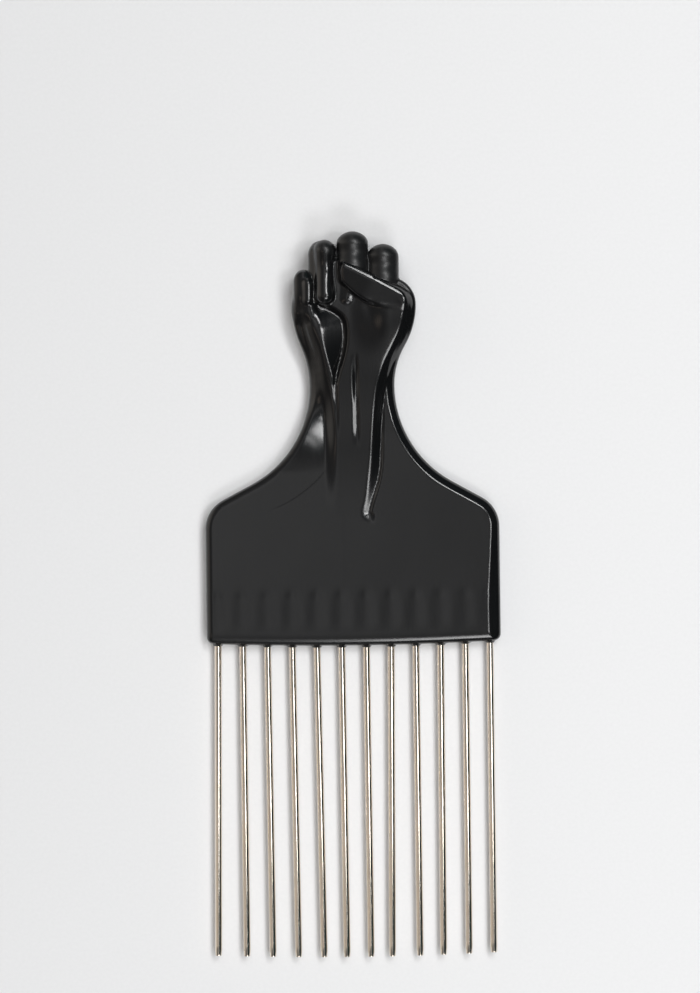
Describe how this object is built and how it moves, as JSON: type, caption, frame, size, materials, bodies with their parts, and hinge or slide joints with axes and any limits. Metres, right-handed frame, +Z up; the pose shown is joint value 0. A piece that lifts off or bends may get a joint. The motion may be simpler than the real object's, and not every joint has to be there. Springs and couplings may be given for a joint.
{
  "type": "afro pick",
  "caption": "Hair pick: a flat black plastic bar with a row of long straight wire teeth, narrowing to a wrist and a closed fist that serve as its handle.",
  "frame": {"origin": "on the surface that the pick lies on, under the middle of its box", "axes": "+Z up, out of the front of the bar and the palm side of the fist; +Y from the teeth to the fist; +X to the right, the thumb's side"},
  "size_m": [0.0688, 0.17, 0.0122],
  "materials": {
    "handle_plastic": "glossy black injection moulding, slightly softer on the bar's face",
    "tooth_nickel": "drawn steel wire, bright nickel plate with a warm tint"
  },
  "bodies": {
    "root": {"handle": "handle_plastic", "tooth_01": "tooth_nickel", "tooth_02": "tooth_nickel", "tooth_03": "tooth_nickel", "tooth_04": "tooth_nickel", "tooth_05": "tooth_nickel", "tooth_06": "tooth_nickel", "tooth_07": "tooth_nickel", "tooth_08": "tooth_nickel", "tooth_09": "tooth_nickel", "tooth_10": "tooth_nickel", "tooth_11": "tooth_nickel", "tooth_12": "tooth_nickel"}
  },
  "joints": []
}
